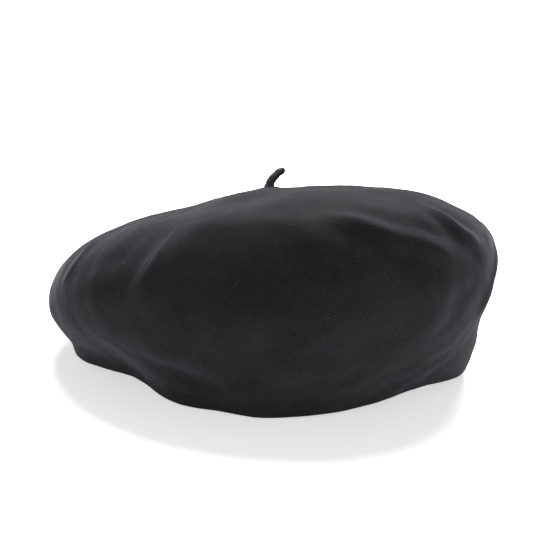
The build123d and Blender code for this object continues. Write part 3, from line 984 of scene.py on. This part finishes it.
bead = BEAD * np.exp(-(((heights[:, None] - band_high.z + BEAD_HIGH / 2) / (BEAD_HIGH / 2)) ** 2))
sewn = SEWN_DEEP * np.exp(-(((heights[:, None] - SEWN_HIGH) / SEWN_WIDE) ** 2))
out3 = np.concatenate([plan_out, np.zeros((len(plan_out), 1))], 1)[None]
centre = np.stack(np.broadcast_arrays(plan[None, :, 0], plan[None, :, 1], heights[:, None]), -1)
shift = hem_shift(turn)
inner = centre + (sewn - sway - bead)[..., None] * out3 + shift
outer = centre + (BAND_THICK - sway + 0.6 * bead)[..., None] * out3 + shift
band = shell("leather_band", inner, outer, LEATHER, rounding=3)
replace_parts(band, "sweatband")
leather_tree = tree_of(band.data)
BAND_THREAD = 0.32 * MM


def band_spots(node, lift):
    """CAD stitches carried to the leather's inner face."""
    spots = []
    for centre, along, length in loose_parts(node):
        around = math.atan2(centre[1] - MIDDLE.y, centre[0] - MIDDLE.x)
        moved = Vector(centre + hem_shift(np.array(around)))
        inward = Vector((MIDDLE.x - moved.x, MIDDLE.y - moved.y, 0)).normalized()
        hit = leather_tree.ray_cast(moved + inward * BAND_LOOK, -inward)[0]
        if hit is None:
            hit = moved
        spots.append((np.array(hit + inward * lift), along, np.array(inward), length))
    return spots


threads("band_thread", band_spots("band_stitches", 0.1 * MM), BAND_THREAD, "band_stitches")
threads("butt_thread", band_spots("butt_stitches", 0.15 * MM), BAND_THREAD, "butt_stitches")
threads("label_thread", band_spots("label_stitches", 0.1 * MM), BAND_THREAD, "label_stitches")

# ---------------- labels behind the band
LABEL_THICK = 0.35 * MM
LABEL_CELLS = 24
LABEL_OFF = 1.25 * MM  # from the leather's inner face


def build_label(node, name, lean, curl):
    """Tape that stands behind the band and leans away from it above."""
    low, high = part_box(node)
    places = np.array([v.co for v in frame["nodes"][node].data.vertices])
    turns = np.arctan2(places[:, 1] - MIDDLE.y, places[:, 0] - MIDDLE.x)
    columns = np.linspace(-0.5, 0.5, LABEL_CELLS + 1)
    rows = np.linspace(0, 1, LABEL_CELLS + 1)[:, None]
    line = np.pad(band_face(turns.min() + (columns + 0.5) * np.ptp(turns)), ((0, 0), (0, 1)))
    along = unit(np.gradient(line, axis=0))
    outward = np.cross(along, [0, 0, 1.0])
    outward *= np.sign((outward * (line - np.array([MIDDLE.x, MIDDLE.y, 0]))).sum())
    tall = high.z - low.z
    free = np.clip((low.z + rows * tall - band_high.z) / (high.z - band_high.z), 0, 1)
    bend = LABEL_OFF + lean * free**1.6 + curl * free * np.cos(2 * np.pi * columns) / 2
    points = line + bend[..., None] * outward
    points[..., 2] = low.z + rows * tall
    width = np.linalg.norm(line[-1] - line[0])
    uv = np.stack([columns * width + 0 * rows, rows * tall + 0 * columns], -1)
    obj = shell(name, points, points + LABEL_THICK * outward, LABEL_CLOTH, uv=uv)
    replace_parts(obj, node)


build_label("size_tab", "blank_tab", 1.6 * MM, 0.6 * MM)
build_label("care_label", "blank_label", 2.2 * MM, 1.2 * MM)

# ---------------- ribbon bow
RIBBON_THICK = 0.45 * MM
RIBBON_CELLS = 10
bow_low, bow_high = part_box("bow_ribbon")
knot_low, knot_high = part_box("bow_knot")
BOW = (knot_low + knot_high) / 2
LOOP_WIDE = 6.0 * MM
TAIL_END = bow_low.z
TAIL_WIDE = 4.8 * MM
TAIL_CUT = 0.3
KNOT_WIDE = 3.7 * MM


def strip(path, across, widths, normals, cut=0.0):
    """Ribbon along a path: its width lies along across; cut is a swallowtail's depth at its end, over the width."""
    path, across = np.array(path), unit(across)
    v = np.linspace(-0.5, 0.5, RIBBON_CELLS + 1)
    along = unit(np.gradient(path, axis=0))
    front = path[:, None] + (v[None] * np.array(widths)[:, None])[..., None] * across[:, None]
    front[-1] += (cut * (np.abs(v) * 2 - 1) * widths[-1])[:, None] * along[-1]
    back = front + RIBBON_THICK * unit(normals)[:, None]
    run = run_of(path)
    uv = np.stack([run[:, None] + 0 * v, v[None] * LOOP_WIDE + 0 * run[:, None]], -1)
    return front, back, uv


def ribbon_pieces():
    pieces = []
    for side in (-1, 1):
        # a loop: out along the front, round the end and back along the rear, pinched at the knot
        line = [
            (0.6, -0.5, 0.0), (2.6, -1.3, 0.1), (6.2, -2.0, 0.3), (10.0, -1.9, 0.3), (12.6, -0.9, 0.1),
            (13.2, 0.2, 0.0), (12.4, 1.2, -0.1), (9.6, 1.7, -0.3), (5.8, 1.4, -0.3), (2.6, 0.8, -0.1), (0.6, 0.3, 0.0),
        ]  # fmt: skip
        path = smooth_path([BOW + Vector((side * p[0], p[1], p[2])) * MM for p in line], 64)
        from_knot = np.abs(path[:, 0] - BOW.x)
        widths = LOOP_WIDE * (0.55 + 0.45 * smooth_step(from_knot / (6 * MM)))
        along = unit(np.gradient(path, axis=0))
        across = np.tile([0.0, 0.0, 1.0], (len(path), 1))
        across[:, 0] += 0.12 * side * np.sin(np.linspace(0, np.pi, len(path)))
        normals = np.cross(along, across)
        pieces.append(strip(path, across, widths, normals))
        # a tail: down and outwards with a slow twist, its end cut to a swallowtail
        drop = (BOW.z - TAIL_END) / MM - 0.9
        line = [
            (0.5, -0.2, -0.4), (1.8, -0.6, -3.0), (4.0, -0.4, -0.45 * drop), (5.4, 0.4, -0.75 * drop),
            (6.6, -0.1, -drop),
        ]  # fmt: skip
        path = smooth_path([BOW + Vector((side * p[0], p[1], p[2])) * MM for p in line], 40)
        share = np.linspace(0, 1, len(path))
        along = unit(np.gradient(path, axis=0))
        face = np.stack([side * 0.25 * np.sin(2.2 * share), -np.ones_like(share), 0 * share], 1)
        across = unit(np.cross(along, face))
        widths = TAIL_WIDE * (0.6 + 0.4 * smooth_step(share / 0.35))
        pieces.append(strip(path, across, widths, np.cross(across, along), TAIL_CUT))
    return pieces


def join_strips(name, pieces, node):
    """Several closed strips as one object."""
    parts = [shell(f"{name}_{k}", f, b, RIBBON_CLOTH, uv=uv) for k, (f, b, uv) in enumerate(pieces)]
    verts, faces, flat = [], [], []
    start = 0
    for part in parts:
        mesh = part.data
        verts += [v.co.copy() for v in mesh.vertices]
        faces += [[start + i for i in p.vertices] for p in mesh.polygons]
        pairs = np.zeros((len(mesh.vertices), 2))
        for corner, pair in zip(mesh.loops, mesh.uv_layers[0].data):
            pairs[corner.vertex_index] = pair.uv
        flat.append(pairs)
        start += len(mesh.vertices)
        bpy.data.objects.remove(part)
    obj = make_object(name, verts, faces, RIBBON_CLOTH)
    set_uv(obj, np.concatenate(flat))
    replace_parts(obj, node)


join_strips("ribbon_bow", ribbon_pieces(), "bow_ribbon")


def knot_strip():
    """Ribbon wrapped once around the middle of the bow, creased along its length."""
    count = 56
    angle = np.linspace(0.15, 2 * np.pi + 0.75, count)
    half_y = (knot_high.y - knot_low.y) / 2 - 0.35 * MM
    half_z = (knot_high.z - knot_low.z) / 2 - 0.4 * MM
    grow = np.linspace(0.94, 1.0, count)
    square = 0.8
    y = np.sign(np.cos(angle)) * np.abs(np.cos(angle)) ** square * half_y * grow
    z = np.sign(np.sin(angle)) * np.abs(np.sin(angle)) ** square * half_z * grow
    path = np.stack([np.full(count, BOW.x), BOW.y + y, BOW.z + z], 1)
    across = np.tile([1.0, 0, 0], (count, 1))
    normals = unit(np.stack([0 * y, y, z], 1))
    widths = KNOT_WIDE * (1 + 0.08 * np.cos(2 * angle))
    front, back, uv = strip(path, across, widths, normals)
    v = np.linspace(-0.5, 0.5, RIBBON_CELLS + 1)
    crease = 0.18 * MM * np.cos(v * 4 * np.pi)[None, :, None] * normals[:, None]
    return front + crease, back + crease, uv


join_strips("ribbon_knot", [knot_strip()], "bow_knot")

# the tack under the stalk keeps its CAD shape
tack = frame["nodes"]["stalk_tack"]
tack.data.materials.clear()
tack.data.materials.append(THREAD)

# ---------------- floor, light and camera
FLOOR_HALF = 12
FLOOR_GLOW = 0.62  # the white table sends light up under the brim
SKY = 0.30
LAMP_PLACE = (0.05, 0.76, 1.25)
LAMP_AIM = (0, 0, 0.05)
LAMP_WIDE = 1.1
LAMP_POWER = 63


def build_floor():
    p = Paint("floor")
    grain = p.noise(30, 3.0)
    p.set(Base_Color=p.ramp(grain, (0.3, 0.90), (0.7, 0.92)), Roughness=0.9, Specular_IOR_Level=0.1)
    p.set(Emission_Color=(1.0, 1.0, 1.0), Emission_Strength=FLOOR_GLOW)
    corners = [(x * FLOOR_HALF, y * FLOOR_HALF, 0) for x, y in ((-1, -1), (1, -1), (1, 1), (-1, 1))]
    floor = make_object("floor", corners, [[0, 1, 2, 3]], p.material, body=None)


build_floor()
world = bpy.data.worlds.new("studio")
world.use_nodes = True
sky = world.node_tree.nodes["Background"].inputs
sky["Color"].default_value = (1, 1, 1, 1)
sky["Strength"].default_value = SKY
bpy.context.scene.world = world


def soft_light(name, place, aim, size, power):
    data = bpy.data.lights.new(name, "AREA")
    data.shape = "DISK"
    data.size = size
    data.energy = power
    light = bpy.data.objects.new(name, data)
    bpy.context.scene.collection.objects.link(light)
    light.location = place
    light.rotation_euler = (Vector(aim) - Vector(place)).to_track_quat("-Z", "Y").to_euler()


soft_light("overhead", LAMP_PLACE, LAMP_AIM, LAMP_WIDE, LAMP_POWER)

CAMERA_RISE = math.radians(17.5)
CAMERA_ROLL = math.radians(3.8)
CAMERA_FAR = 0.841
CAMERA_LENS = 100  # mm
CAMERA_AIM = (4.6 * MM, 0, 46.6 * MM)


def build_camera():
    data = bpy.data.cameras.new("camera")
    data.lens = CAMERA_LENS
    data.sensor_width = 36
    data.clip_start = 0.05
    camera = bpy.data.objects.new("camera", data)
    bpy.context.scene.collection.objects.link(camera)
    back = Vector((0, -math.cos(CAMERA_RISE), math.sin(CAMERA_RISE)))
    side = Vector((1, 0, 0))
    above = back.cross(side)
    right = side * math.cos(CAMERA_ROLL) + above * math.sin(CAMERA_ROLL)
    up = above * math.cos(CAMERA_ROLL) - side * math.sin(CAMERA_ROLL)
    turn = Matrix((right, up, back)).transposed().to_4x4()
    camera.matrix_world = Matrix.Translation(Vector(CAMERA_AIM) + back * CAMERA_FAR) @ turn
    bpy.context.scene.camera = camera


build_camera()
bpy.context.scene.view_settings.view_transform = "Standard"
